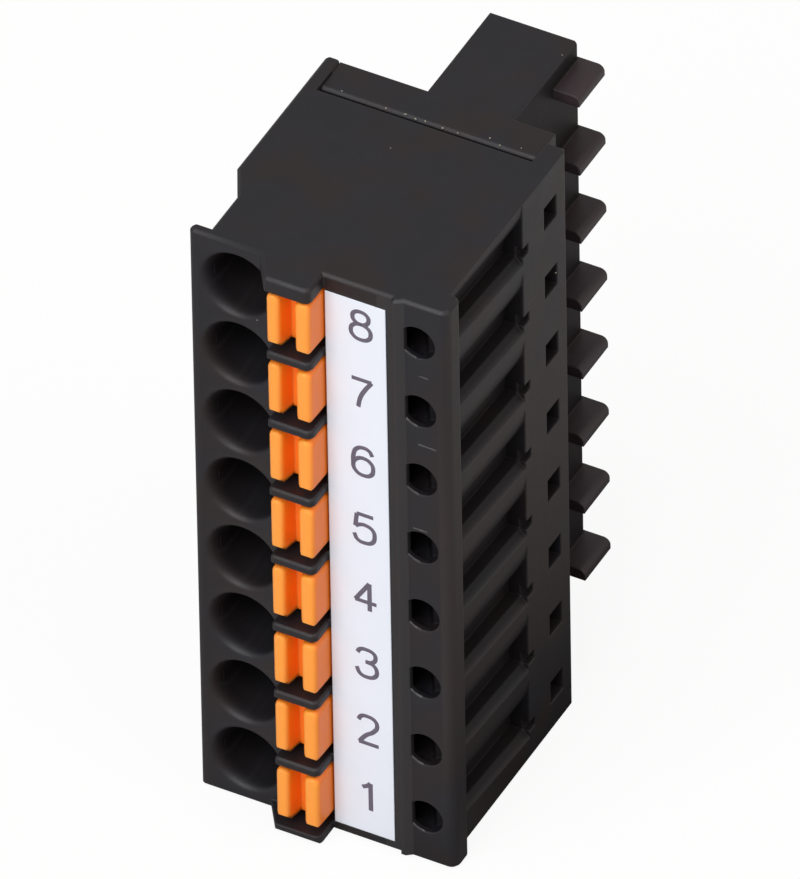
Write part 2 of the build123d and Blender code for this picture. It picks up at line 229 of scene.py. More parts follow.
class SurfaceDetail(bpy.types.PropertyGroup):
    """Sizes of the grain and of the softened edges."""

    grain_size: FloatProperty(
        name="Grain size", description="Width of one grain of the eroded mould surface", unit="LENGTH",
        default=0.06 * MM, precision=6)
    grain_depth: FloatProperty(
        name="Grain depth", description="Height of the grain", unit="LENGTH",
        default=0.006 * MM, precision=7)
    mottle_size: FloatProperty(
        name="Mottle size", description="Width of the patches where the plastic flowed", unit="LENGTH",
        default=1.6 * MM, precision=5)
    edge_radius: FloatProperty(
        name="Edge radius", description="Radius of the moulded edges", unit="LENGTH",
        default=0.12 * MM, precision=6)
    lever_radius: FloatProperty(
        name="Lever edge radius", description="Radius of the levers' softer edges", unit="LENGTH",
        default=0.16 * MM, precision=6)
    ridge_dome: FloatProperty(
        name="Ridge end radius", description="Radius of the ends of the levers' ridges", unit="LENGTH",
        default=0.27 * MM, precision=6)
    # The width of the painted lip highlights and of the scratches.
    lip_highlight_and_scratch_width: FloatProperty(
        name="Lip highlight and scratch width", description="Width of the rubbed lips and scratches", unit="LENGTH",
        default=0.07 * MM, precision=6)
    smooth_angle: FloatProperty(
        name="Smooth angle", description="Faces that meet at less than this are shaded as one surface",
        subtype="ANGLE", default=math.radians(40))


class MarkerPrint(bpy.types.PropertyGroup):
    """Size and place of the printed digits."""

    digit_width: FloatProperty(
        name="Digit width", description="Width of the digits between stroke middles", unit="LENGTH",
        default=0.94 * MM, precision=6)
    digit_height: FloatProperty(
        name="Digit height", description="Height of the digits between stroke middles", unit="LENGTH",
        default=1.42 * MM, precision=6)
    stroke: FloatProperty(
        name="Stroke", description="Width of the printed line", unit="LENGTH",
        default=0.2 * MM, precision=6)
    ink_height: FloatProperty(
        name="Ink height", description="How far the ink stands off the strip", unit="LENGTH",
        default=0.008 * MM, precision=7)
    column_x: FloatProperty(
        name="Column", description="Middle of the digits across the block", unit="LENGTH",
        default=1.86 * MM, precision=6)
    first_height: FloatProperty(
        name="First digit", description="Height of the middle of the lowest digit", unit="LENGTH",
        default=2.4 * MM, precision=6)
    spacing: FloatProperty(
        name="Spacing", description="Distance from one digit to the next", unit="LENGTH",
        default=3.48 * MM, precision=6)


class DustSettings(bpy.types.PropertyGroup):
    """Size of the specks of dust."""

    speck_size: FloatProperty(
        name="Speck size", description="Radius of a middling speck", unit="LENGTH",
        default=0.035 * MM, precision=6)
    seed: IntProperty(name="Seed", description="Seed of the specks' sizes and turns", default=7, min=0)


class StageSettings(bpy.types.PropertyGroup):
    """Camera, light and floor."""

    azimuth: FloatProperty(
        name="Azimuth", description="Camera's turn about the block", subtype="ANGLE",
        default=math.radians(28.366))
    elevation: FloatProperty(
        name="Elevation", description="Camera's height above the floor", subtype="ANGLE",
        default=math.radians(41.531))
    roll: FloatProperty(
        name="Roll", description="Camera's turn about its own axis", subtype="ANGLE",
        default=math.radians(-1.025))
    aim: FloatVectorProperty(
        name="Aim", description="Point in the middle of the picture", subtype="XYZ", unit="LENGTH",
        default=(-2.7956 * MM, 3.8695 * MM, 9.877 * MM), precision=6)
    distance: FloatProperty(
        name="Distance", description="From the camera to the aim", unit="LENGTH", default=1.3)
    lens: FloatProperty(name="Lens", description="Focal length in millimetres", default=1366.4, max=5000.0)
    sensor: FloatProperty(name="Sensor", description="Sensor height in millimetres", default=36.0)
    key_power: FloatProperty(
        name="Key lamp", description="Power of the lamp in front", unit="POWER", default=3.1, min=0)
    side_power: FloatProperty(
        name="Side lamp", description="Power of the warm lamp on the right", unit="POWER",
        default=1.2, min=0)
    floor: FloatVectorProperty(
        name="Floor", description="Colour of the floor", subtype="COLOR",
        default=(0.85, 0.85, 0.85), min=0, max=1)
    floor_glow: FloatProperty(
        name="Floor glow", description="Share of plain white that the camera sees in the floor",
        default=0.9, min=0, max=1, subtype="FACTOR")
    floor_bounce: FloatProperty(
        name="Floor bounce", description="Share of the floor's colour that it throws back on the block",
        default=0.85, min=0, max=1, subtype="FACTOR")
    floor_front: FloatProperty(
        name="Front floor bounce", description="The same share in front of the block",
        default=0.55, min=0, max=1, subtype="FACTOR")
    floor_near: FloatProperty(
        name="Near floor bounce", description="The same share at the block's foot", default=0.08,
        min=0, max=1, subtype="FACTOR")
    sky: FloatProperty(name="Sky", description="Strength of the light from all round", default=0.5, min=0)


def settings():
    """The scene's settings of the terminal block."""
    return bpy.context.scene.terminal_block


class TerminalBlockSettings(bpy.types.PropertyGroup):
    """All the settings of the terminal block."""

    colours: PointerProperty(type=BlockColours)
    surface: PointerProperty(type=SurfaceDetail)
    marker: PointerProperty(type=MarkerPrint)
    dust: PointerProperty(type=DustSettings)
    stage: PointerProperty(type=StageSettings)


class Value:
    """A socket that Python's operators work on."""

    def __init__(self, recipe, socket):
        self.recipe = recipe
        self.socket = socket

    def join(self, operation, first, second):
        """Adds one Math node."""
        return self.recipe.node("ShaderNodeMath", {"operation": operation}, {0: first, 1: second})[0]

    def __add__(self, other):
        return self.join("ADD", self, other)

    def __radd__(self, other):
        return self.join("ADD", other, self)

    def __sub__(self, other):
        return self.join("SUBTRACT", self, other)

    def __rsub__(self, other):
        return self.join("SUBTRACT", other, self)

    def __mul__(self, other):
        return self.join("MULTIPLY", self, other)

    def __rmul__(self, other):
        return self.join("MULTIPLY", other, self)

    def __truediv__(self, other):
        return self.join("DIVIDE", self, other)

    def __rtruediv__(self, other):
        return self.join("DIVIDE", other, self)

    def __lt__(self, other):
        return self.join("LESS_THAN", self, other)

    def __gt__(self, other):
        return self.join("GREATER_THAN", self, other)


class Outputs:
    """The outputs of a node, by name or number."""

    def __init__(self, recipe, node):
        self.recipe = recipe
        self.outputs = node.outputs

    def __getitem__(self, key):
        return Value(self.recipe, self.outputs[key])


class Recipe:
    """A material or a world while its nodes are added."""

    def __init__(self, owner):
        self.owner = owner
        self.owner.use_nodes = True
        self.tree = self.owner.node_tree
        self.tree.nodes.clear()

    def node(self, kind, choices=None, inputs=None):
        """Adds a node: its choices are set first, then the values or links of its sockets."""
        node = self.tree.nodes.new(kind)
        for name, choice in (choices or {}).items():
            if name == "stops":
                self.set_stops(node, choice)
            else:
                setattr(node, name, choice)
        for key, value in (inputs or {}).items():
            if isinstance(value, Value):
                self.tree.links.new(value.socket, node.inputs[key])
            else:
                node.inputs[key].default_value = value
        return Outputs(self, node)

    def set_stops(self, node, stops):
        """Gives a colour ramp its stops, as pairs of place and grey level."""
        ramp = node.color_ramp
        for place, level in stops[2:]:
            ramp.elements.new(place)
        for element, (place, level) in zip(ramp.elements, stops):
            element.position = place
            element.color = (level, level, level, 1)

    def place(self):
        """Object coordinates in millimetres."""
        inputs = {0: self.node("ShaderNodeTexCoord")["Object"], "Scale": 1 / MM}
        return self.node("ShaderNodeVectorMath", {"operation": "SCALE"}, inputs)[0]

    def noise(self, place, size, detail=2.0, roughness=0.5):
        """Smooth noise whose patches have a size in millimetres."""
        inputs = {"Vector": place, "Scale": 1 / size, "Detail": detail, "Roughness": roughness}
        return self.node("ShaderNodeTexNoise", None, inputs)["Fac"]

    def ramp(self, value, *stops):
        """A value sent through stops of place and level."""
        return self.node("ShaderNodeValToRGB", {"stops": stops}, {"Fac": value})["Color"]

    def blend(self, factor, first, second):
        """A mix of two colours."""
        choices = {"data_type": "RGBA"}
        inputs = {0: factor, 6: with_alpha(first), 7: with_alpha(second)}
        return self.node("ShaderNodeMix", choices, inputs)[2]

    def edge_normal(self, radius):
        """The normal with its edges rounded."""
        return self.node("ShaderNodeBevel", {"samples": 6}, {"Radius": radius})["Normal"]

    def bump(self, height, distance, normal):
        """The normal of a surface raised by a height of 0 to 1 times a distance."""
        inputs = {"Height": height, "Distance": distance, "Normal": normal}
        return self.node("ShaderNodeBump", None, inputs)["Normal"]

    def edge_wear_and_highlight(self, rounded):
        """1 on the crests of edges, from how far the rounded normal leans from the plain one."""
        inputs = {0: rounded, 1: self.node("ShaderNodeNewGeometry")["Normal"]}
        likeness = self.node("ShaderNodeVectorMath", {"operation": "DOT_PRODUCT"}, inputs)["Value"]
        return self.ramp(1 - likeness, (0.01, 0.0), (0.12, 1.0))

    def plastic(self, **inputs):
        """A Principled shader."""
        sockets = {name.replace("_", " "): value for name, value in inputs.items()}
        return self.node("ShaderNodeBsdfPrincipled", None, sockets)["BSDF"]

    def matt(self, colour):
        """A Diffuse shader."""
        return self.node("ShaderNodeBsdfDiffuse", None, {"Color": with_alpha(colour)})[0]

    def mixed(self, share, first, second):
        """A mix of two shaders."""
        return self.node("ShaderNodeMixShader", None, {0: share, 1: first, 2: second})[0]

    def surface(self, shader):
        """Ends the material with a shader."""
        self.node("ShaderNodeOutputMaterial", None, {"Surface": shader})
        return self.owner

    def finish(self, **inputs):
        """Ends the material with a Principled shader."""
        return self.surface(self.plastic(**inputs))


def new_material(name):
    """The recipe of a new material."""
    return Recipe(bpy.data.materials.new(name))


def with_alpha(colour):
    """A colour as four numbers, or a link as it is."""
    return colour if isinstance(colour, Value) else (*colour[:3], 1.0)


def shade(colour, factor):
    """A colour made lighter or darker."""
    return tuple(channel * factor for channel in colour[:3])


def tinted(colour, tint):
    """A colour times a tint, channel by channel."""
    return tuple(channel * share for channel, share in zip(colour, tint))


def dust_mask(recipe, place, cell, radius, share):
    """1 on sparse round specks, 0 elsewhere."""
    inputs = {"Vector": place, "Scale": 1 / cell, "Randomness": 1.0}
    cells = recipe.node("ShaderNodeTexVoronoi", {"feature": "F1"}, inputs)
    chance = recipe.node("ShaderNodeSeparateColor", None, {0: cells["Color"]})[0]
    return (cells["Distance"] < radius / cell) * (chance < share)


def zone(spot, limits):
    """1 within limits along the axes, 0 outside them."""
    mask = 1.0
    for axis, (low, high) in limits.items():
        if low is not None:
            mask = (spot[axis] > low) * mask
        if high is not None:
            mask = (spot[axis] < high) * mask
    return mask


def flow_colour(recipe, place, mottle):
    """Black with warm and cool patches where the plastic flowed, lighter where it is mottled."""
    colours = settings().colours
    size = settings().surface.mottle_size / MM
    cool = tinted(colours.black, (0.9, 0.97, 1.25))
    warm = tinted(colours.black, (1.3, 0.95, 0.92))
    tint = recipe.ramp(recipe.noise(place, size * 1.3, 1.0), (0.35, 0.0), (0.65, 1.0))
    dark = recipe.blend(tint, shade(cool, 0.8), shade(warm, 0.8))
    light = recipe.blend(tint, shade(cool, 1.3), shade(warm, 1.3))
    return recipe.blend(mottle, dark, light)


def painted_light_zones(recipe, spot, colour):
    """Painted light: the colour made paler on the coding ribs, a painted highlight on the rail by the strip
    and painted light on the middle of the right side.
    """
    scuff_and_highlight = settings().colours.scuff_and_highlight
    middle = recipe.ramp(spot["Z"] / HEIGHT, (0.1, 0.0), (0.3, 1.0), (0.6, 1.0), (0.85, 0.0))
    colour = recipe.blend(0.6 * zone(spot, RIBS), colour, tinted(scuff_and_highlight, (0.42, 0.28, 0.31)))
    colour = recipe.blend(0.7 * zone(spot, RAIL), colour, shade(scuff_and_highlight, 0.3))
    return recipe.blend(0.4 * zone(spot, RIGHT_SIDE) * middle, colour, tinted(scuff_and_highlight, (0.36, 0.26, 0.22)))


def painted_shade_share(recipe, spot):
    """How far the plastic is made matt and darker, as painted shade, in the side pockets, in the wire
    entries and on the nose beside its ribs.
    """
    pocket = recipe.ramp(spot["X"] - POCKETS["X"][0], (0.78, 1.0), (0.94, 0.0)) * zone(spot, POCKETS)
    left = spot["X"] + FLANGE_ROOM * (spot["Y"] < FLANGE_REAR) > NOTCH_WALL
    deep = recipe.ramp(spot["Y"] - FRONT_Y, (0.12, 0.0), (0.45, 1.0))
    bore = left * zone(spot, BORES) * deep * (1 - pocket)
    return 0.5 * pocket + 0.72 * bore + 0.5 * zone(spot, NOSE_SIDE)


def black_plastic():
    """Black glass-filled plastic with an eroded grain, flow mottling and a little dust, painted shade in its
    recesses, painted light on some zones, and paler edges, partly worn and partly a painted highlight.
    """
    colours = settings().colours
    surface = settings().surface
    recipe = new_material("black_plastic")
    place = recipe.place()
    spot = recipe.node("ShaderNodeSeparateXYZ", None, {0: place})
    grain_mm = surface.grain_size / MM
    grain = recipe.noise(place, grain_mm, 3.0, 0.6)
    waves = recipe.noise(place, grain_mm * 6, 2.0)
    mottle = recipe.noise(place, surface.mottle_size / MM, 3.0, 0.6)
    rub = recipe.ramp(recipe.noise(place, 0.5, 4.0, 0.7), (0.55, 0.0), (0.75, 1.0))
    specks = dust_mask(recipe, place, 0.9, 0.03, 0.08)
    colour = recipe.blend(specks * 0.6, flow_colour(recipe, place, mottle), colours.dust)
    # Painted light on the ribs, the rail and the middle of the right side.
    colour = painted_light_zones(recipe, spot, colour)
    rounded = recipe.edge_normal(surface.edge_radius)
    # Edges made paler, partly wear and partly a painted highlight, patchy along their length.
    wear_and_highlight = recipe.edge_wear_and_highlight(rounded) * (0.4 + 0.6 * rub)
    colour = recipe.blend(wear_and_highlight, colour, shade(colours.scuff_and_highlight, 0.35))
    roughness = 0.4 + 0.14 * mottle + 0.08 * grain - 0.06 * rub + 0.3 * specks
    normal = recipe.bump(grain + 0.8 * waves, surface.grain_depth, rounded)
    gloss = recipe.plastic(Base_Color=colour, Roughness=roughness, Normal=normal, IOR=1.45)
    # Painted shade: a matt plastic without gloss, which renders darker, mixed in over the recesses.
    matt = recipe.matt(shade(colours.black, 1.3))
    return recipe.surface(recipe.mixed(painted_shade_share(recipe, spot), gloss, matt))


def orange_plastic():
    """Orange plastic, a little waxy, with a fine grain, a paler painted highlight on the ridges' crests and
    painted light in the groove.
    """
    colours = settings().colours
    surface = settings().surface
    recipe = new_material("orange_plastic")
    place = recipe.place()
    grain_mm = surface.grain_size / MM
    grain = recipe.noise(place, grain_mm * 1.5, 2.0)
    mottle = recipe.noise(place, 0.7, 3.0, 0.6)
    spot = recipe.node("ShaderNodeSeparateXYZ", None, {0: place})
    depth = spot["Y"] - LEVER_FRONT
    # Painted highlight: the crests of the ridges, nearest the front, paler.
    painted_crest = recipe.ramp(depth, (0.05, 1.0), (0.26, 0.0))
    groove = zone(spot, {"X": (GROOVE_X - GROOVE_HALF, GROOVE_X + GROOVE_HALF)})
    deep = recipe.blend(mottle, shade(colours.orange, 0.93), shade(colours.orange, 1.05))
    pale = recipe.blend(mottle, shade(colours.crest_highlight, 0.96), shade(colours.crest_highlight, 1.03))
    # Painted light: the orange in the groove made lighter.
    deep = recipe.blend(groove, deep, shade(colours.orange, 1.16))
    colour = recipe.blend(painted_crest, deep, pale)
    roughness = 0.33 + 0.12 * mottle + 0.06 * grain
    normal = recipe.bump(grain + mottle, surface.grain_depth, recipe.edge_normal(surface.lever_radius))
    return recipe.finish(
        Base_Color=colour, Roughness=roughness, Normal=normal, IOR=1.5, Subsurface_Weight=0.12,
        Subsurface_Radius=(1.0, 0.35, 0.1), Subsurface_Scale=0.4 * MM)


def white_plastic():
    """The marker strip's matt white plastic with faint smudges."""
    colours = settings().colours
    surface = settings().surface
    recipe = new_material("white_plastic")
    place = recipe.place()
    smudge = recipe.noise(place, 1.8, 4.0, 0.6)
    grain = recipe.noise(place, surface.grain_size / MM, 2.0)
    specks = dust_mask(recipe, place, 1.1, 0.025, 0.1)
    paper = recipe.blend(smudge, shade(colours.strip, 0.97), shade(colours.strip, 1.03))
    colour = recipe.blend(specks * 0.4, paper, shade(colours.dust, 0.6))
    roughness = 0.5 + 0.15 * smudge
    normal = recipe.bump(grain, surface.grain_depth / 2, recipe.edge_normal(surface.edge_radius / 2))
    return recipe.finish(Base_Color=colour, Roughness=roughness, Normal=normal, IOR=1.46)


def ink():
    """Dark ink, thinner in places."""
    colours = settings().colours
    recipe = new_material("marker_ink")
    place = recipe.place()
    thin = recipe.noise(place, 0.12, 3.0, 0.7)
    colour = recipe.blend(thin, colours.ink, shade(colours.ink, 2.6))
    return recipe.finish(Base_Color=colour, Roughness=0.45 + 0.2 * thin, IOR=1.45)


def lip_highlights_and_scratches():
    """Pale marks on the black plastic, thinning out in places: light scratches, and painted highlights on
    the test holes' lips.
    """
    colours = settings().colours
    recipe = new_material("lip_highlight_and_scratch_plastic")
    place = recipe.place()
    patch = recipe.ramp(recipe.noise(place, 0.25, 3.0, 0.7), (0.35, 0.0), (0.6, 1.0))
    colour = recipe.blend(patch, shade(colours.scuff_and_highlight, 0.25), colours.scuff_and_highlight)
    return recipe.finish(Base_Color=colour, Roughness=0.3 + 0.2 * patch, IOR=1.45)


def sheet_metal(name, tint, rough):
    """Rolled strip metal with fine lines along the rolling and a little staining."""
    surface = settings().surface
    recipe = new_material(name)
    place = recipe.place()
    inputs = {0: place, 1: (1.0, 1.0, 14.0)}
    stretched = recipe.node("ShaderNodeVectorMath", {"operation": "MULTIPLY"}, inputs)[0]
    lines = recipe.noise(stretched, 0.35, 3.0, 0.6)
    stain = recipe.noise(place, 0.9, 3.0, 0.6)
    colour = recipe.blend(stain, shade(tint, 0.82), shade(tint, 1.08))
    roughness = rough + 0.14 * lines + 0.08 * stain
    normal = recipe.bump(lines, surface.grain_depth, recipe.edge_normal(surface.edge_radius / 2))
    return recipe.finish(Base_Color=colour, Metallic=1.0, Roughness=roughness, Normal=normal)


def dust_material():
    """Pale dust."""
    colours = settings().colours
    recipe = new_material("pale_dust")
    place = recipe.place()
    clump = recipe.noise(place, 0.03, 2.0)
    colour = recipe.blend(clump, shade(colours.dust, 0.75), shade(colours.dust, 1.3))
    return recipe.finish(Base_Color=colour, Roughness=0.8 + 0.1 * clump)


def dress(names, material):
    """Gives CAD nodes their material."""
    for name in names:
        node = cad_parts[name]
        if not node.material_slots:
            node.data.materials.append(material)
        for slot in node.material_slots:
            slot.material = material


def tighten_wire_mouth(vert, pole):
    """Moves a ring of a wire entry's lip out, so that the lip is tight and the bore tapers."""
    across = vert.co.x / MM - WIRE_X
    up = vert.co.z / MM - pole
    radius = math.hypot(across, up)
    depth = vert.co.y / MM - FRONT_Y
    for (ring, ring_depth), (new_ring, new_depth, shift) in zip(LIP_RINGS, TIGHT_RINGS):
        if abs(radius - ring) < NEAR and abs(depth - ring_depth) < NEAR:
            vert.co.x = (WIRE_X + shift + across * new_ring / ring) * MM
            vert.co.z = (pole + up * new_ring / ring) * MM
            vert.co.y = (FRONT_Y + new_depth) * MM
            return


def thin_test_mouth(vert, pole):
    """Raises a test hole's mouth and thins the wall round it, so that only its lip catches light."""
    depth = vert.co.y / MM - FRONT_Y
    beside_rail = TEST_LEFT < vert.co.x / MM < TEST_RIGHT
    if beside_rail and abs(vert.co.z / MM - pole) < TEST_REACH and -NEAR < depth < TEST_WALL + NEAR:
        vert.co.z += TEST_RISE * MM
        if depth > TEST_WALL - NEAR:
            vert.co.y -= (TEST_WALL - TEST_LIP) * MM


def refine_housing(shell):
    """Finishes the mouths of the wire entries and test holes at each pole."""
    for vert in shell.verts:
        for pole in POLES:
            if abs(vert.co.z / MM - pole) < POLE_REACH:
                tighten_wire_mouth(vert, pole)
                thin_test_mouth(vert, pole)
                break


def close_seams(shell):
    """Moves the carrier's sides out to the housing's walls, so that no light shows through the seams."""
    for vert in shell.verts:
        for side, shift in CARRIER_SIDES:
            if abs(vert.co.x / MM - side) < NEAR / 2:
                vert.co.x += shift * MM
                break


def dome_ridges(shell):
    """Rounds off both ends of a lever's two ridges, over the depth of its groove."""
    surface = settings().surface
    radius = surface.ridge_dome
    low = min(vert.co.z for vert in shell.verts)
    high = max(vert.co.z for vert in shell.verts)
    front = min(vert.co.y for vert in shell.verts)
    for share in RIDGE_CUTS:
        for height, normal in ((low + share * radius, (0, 0, -1)), (high - share * radius, (0, 0, 1))):
            everything = shell.verts[:] + shell.edges[:] + shell.faces[:]
            bmesh.ops.bisect_plane(
                shell, geom=everything, plane_co=(0, 0, height), plane_no=normal, dist=1e-9)
    for vert in shell.verts:
        from_end = min(vert.co.z - low, high - vert.co.z)
        depth = (vert.co.y - front) / (GROOVE_DEPTH * MM)
        if from_end >= radius or depth >= 1:
            continue
        middle, half = RIDGES[0] if vert.co.x < GROOVE_X * MM else RIDGES[1]
        inward = radius - math.sqrt(radius ** 2 - (radius - from_end) ** 2)
        across = vert.co.x - middle * MM
        keep = 1 - min(1.0, inward / (half * MM)) * (1 - depth ** 2)
        if abs(across) < 1.15 * half * MM:
            vert.co.x = middle * MM + across * keep


def new_object(name, data):
    """A new object in the scene."""
    made = bpy.data.objects.new(name, data)
    bpy.context.scene.collection.objects.link(made)
    return made


def smoothed_copy(node, name, refine):
    """A copy of a CAD node, refined, whose curved faces are shaded as one surface."""
    angle = settings().surface.smooth_angle
    shell = bmesh.new()
    shell.from_mesh(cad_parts[node].data)
    bmesh.ops.remove_doubles(shell, verts=shell.verts, dist=0.0005 * MM)
    refine(shell)
    for face in shell.faces:
        face.smooth = True
    for edge in shell.edges:
        edge.smooth = edge.is_manifold and edge.calc_face_angle(math.pi) < angle
    mesh = bpy.data.meshes.new(name)
    shell.to_mesh(mesh)
    shell.free()
    source = new_object(name, mesh)
    weighted = source.modifiers.new("weighted", "WEIGHTED_NORMAL")
    weighted.keep_sharp = True
    weighted.weight = 100
    evaluated = source.evaluated_get(bpy.context.evaluated_depsgraph_get())
    source.data = bpy.data.meshes.new_from_object(evaluated)
    source.modifiers.remove(weighted)
    return source


def stand_in(node, name, body, material, refine):
    """Puts a finished copy in a CAD node's place."""
    shell = smoothed_copy(node, name, refine)
    shell.data.materials.clear()
    shell.data.materials.append(material)
    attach(shell, body)
    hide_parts(node)


def node_group(name, inputs):
    """A geometry tree with named inputs: its tree, its first node and its last."""
    tree = bpy.data.node_groups.new(name, "GeometryNodeTree")
    tree.interface.new_socket("Geometry", in_out="INPUT", socket_type="NodeSocketGeometry")
    for socket_name, kind in inputs:
        tree.interface.new_socket(socket_name, in_out="INPUT", socket_type=kind)
    tree.interface.new_socket("Geometry", in_out="OUTPUT", socket_type="NodeSocketGeometry")
    return tree, tree.nodes.new("NodeGroupInput"), tree.nodes.new("NodeGroupOutput")


def add(tree, kind, choices=None, **links):
    """Adds a node to a geometry tree, with its sockets linked or set by name."""
    node = tree.nodes.new(kind)
    for name, choice in (choices or {}).items():
        setattr(node, name, choice)
    for name, value in links.items():
        socket = node.inputs[name.replace("_", " ")]
        if isinstance(value, bpy.types.NodeSocket):
            tree.links.new(value, socket)
        else:
            socket.default_value = value
    return node


def made_mesh(source, tree, values, name):
    """The plain mesh object that a geometry tree makes of a source object, which is then removed."""
    modifier = source.modifiers.new("tree", "NODES")
    modifier.node_group = tree
    for item in tree.interface.items_tree:
        if item.item_type == "SOCKET" and item.in_out == "INPUT" and item.name in values:
            modifier[item.identifier] = values[item.name]
    evaluated = source.evaluated_get(bpy.context.evaluated_depsgraph_get())
    mesh = bpy.data.meshes.new_from_object(evaluated)
    source.modifiers.remove(modifier)
    bpy.data.objects.remove(source)
    mesh.name = name
    return new_object(name, mesh)


def ink_tree(material):
    """Lays a flat line of ink along each curve."""
    inputs = [("Stroke", "NodeSocketFloat"), ("Ink height", "NodeSocketFloat")]
    tree, first, last = node_group("Printed line", inputs)
    radius = add(tree, "ShaderNodeMath", {"operation": "DIVIDE"})
    tree.links.new(first.outputs["Stroke"], radius.inputs[0])
    radius.inputs[1].default_value = 2.0
    flatten = add(tree, "ShaderNodeMath", {"operation": "DIVIDE"})
    tree.links.new(first.outputs["Ink height"], flatten.inputs[0])
    tree.links.new(radius.outputs[0], flatten.inputs[1])
    scale = add(tree, "ShaderNodeCombineXYZ", X=1.0, Y=flatten.outputs[0], Z=1.0)
    circle = add(tree, "GeometryNodeCurvePrimitiveCircle", Resolution=10, Radius=radius.outputs[0])
    body = add(
        tree, "GeometryNodeCurveToMesh", Curve=first.outputs["Geometry"],
        Profile_Curve=circle.outputs["Curve"], Fill_Caps=True)
    flat = add(tree, "GeometryNodeTransform", Geometry=body.outputs[0], Scale=scale.outputs[0])
    real = add(tree, "GeometryNodeRealizeInstances", Geometry=flat.outputs[0])
    inked = add(tree, "GeometryNodeSetMaterial", Geometry=real.outputs[0], Material=material)
    tree.links.new(inked.outputs[0], last.inputs[0])
    return tree


def drawn_curves(name, lines):
    """One curve object with smooth lines through points given across and up, drawn on the plane y = 0."""
    curve = bpy.data.curves.new(name, "CURVE")
    curve.dimensions = "3D"
    curve.resolution_u = 6
    for closed, points in lines:
        spline = curve.splines.new("BEZIER")
        spline.bezier_points.add(len(points) - 1)
        spline.use_cyclic_u = closed
        for knot, (across, up) in zip(spline.bezier_points, points):
            knot.co = (across, 0, up)
            knot.handle_left_type = "AUTO"
            knot.handle_right_type = "AUTO"
    return new_object(name, curve)


def digit_lines():
    """The strokes of all the digits at their size and place."""
    marker = settings().marker
    lines = []
    for digit, strokes in STROKES.items():
        middle = marker.first_height + (digit - 1) * marker.spacing
        for closed, points in strokes:
            placed = [
                (marker.column_x + across * marker.digit_width, middle + up * marker.digit_height)
                for across, up in points]
            lines.append((closed, placed))
    return lines


def lip_highlight_and_scratch_lines():
    """A painted highlight along the lower lip of each test hole, and the scratches beside some of them."""
    lines = []
    for pole in POLES:
        # A painted highlight along each test hole's lower lip, drawn twice, a little apart.
        for rise in (0.0, 0.05):
            points = [((TEST_LEFT + across) * MM, (pole + up + rise) * MM) for across, up in TEST_LIP_LINE]
            lines.append((False, points))
    for pole_number, left, right, up, drop in SCRATCHES:
        height = POLES[pole_number - 1] + up
        points = [(left, height), ((left + right) / 2, height - drop / 3), (right, height - drop)]
        lines.append((False, [(across * MM, rise * MM) for across, rise in points]))
    return lines


def dust_tree(material):
    """Sets a small uneven grain at each point."""
    inputs = [("Speck size", "NodeSocketFloat"), ("Seed", "NodeSocketInt")]
    tree, first, last = node_group("Dust", inputs)
    grain = add(tree, "GeometryNodeMeshIcoSphere", Radius=first.outputs["Speck size"], Subdivisions=1)
    size = add(tree, "FunctionNodeRandomValue", {"data_type": "FLOAT_VECTOR"})
    size.inputs[0].default_value = (0.5, 0.4, 0.3)
    size.inputs[1].default_value = (1.9, 1.2, 0.8)
    tree.links.new(first.outputs["Seed"], size.inputs["Seed"])
    turn = add(tree, "FunctionNodeRandomValue", {"data_type": "FLOAT_VECTOR"})
    turn.inputs[1].default_value = (0.0, 0.0, math.tau)
    tree.links.new(first.outputs["Seed"], turn.inputs["Seed"])
    placed = add(
        tree, "GeometryNodeInstanceOnPoints", Points=first.outputs["Geometry"],
        Instance=grain.outputs["Mesh"], Rotation=turn.outputs[0], Scale=size.outputs[0])
    real = add(tree, "GeometryNodeRealizeInstances", Geometry=placed.outputs[0])
    dusty = add(tree, "GeometryNodeSetMaterial", Geometry=real.outputs[0], Material=material)
    tree.links.new(dusty.outputs[0], last.inputs[0])
    return tree


class TERMINAL_OT_mouldings(bpy.types.Operator):
    """Finish the housing and the contact carrier in black plastic"""

    bl_idname = "terminal.mouldings"
    bl_label = "Black mouldings"

    def execute(self, context):
        black = black_plastic()
        dress(["housing", "contact_carrier"], black)
        stand_in("housing", "housing_shell", "block", black, refine_housing)
        stand_in("contact_carrier", "carrier_shell", "block", black, close_seams)
        return {"FINISHED"}


class TERMINAL_OT_levers(bpy.types.Operator):
    """Finish the release levers in orange plastic"""

    bl_idname = "terminal.levers"
    bl_label = "Release levers"

    def execute(self, context):
        orange = orange_plastic()
        dress(LEVERS, orange)
        for node in LEVERS:
            number = node.rsplit("_", 1)[1]
            name = "domed_lever_" + number
            stand_in(node, name, "lever_" + number, orange, dome_ridges)
        return {"FINISHED"}


class TERMINAL_OT_metal(bpy.types.Operator):
    """Finish the contacts and the clamp springs"""

    bl_idname = "terminal.metal"
    bl_label = "Contacts and springs"

    def execute(self, context):
        colours = settings().colours
        dress(CONTACTS, sheet_metal("tinned_copper", colours.tin, 0.24))
        dress(SPRINGS, sheet_metal("spring_steel", colours.steel, 0.3))
        return {"FINISHED"}


class TERMINAL_OT_marker(bpy.types.Operator):
    """Finish the marker strip and print its digits"""

    bl_idname = "terminal.marker"
    bl_label = "Marker strip"

    def execute(self, context):
        marker = settings().marker
        dress(["marker_strip"], white_plastic())
        values = {"Stroke": marker.stroke, "Ink height": marker.ink_height}
        lines = drawn_curves("digits", digit_lines())
        digits = made_mesh(lines, ink_tree(ink()), values, "marker_digits")
        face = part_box("marker_strip")[0].y
        digits.data.transform(Matrix.Translation((0, face, 0)))
        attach(digits, "block")
        return {"FINISHED"}


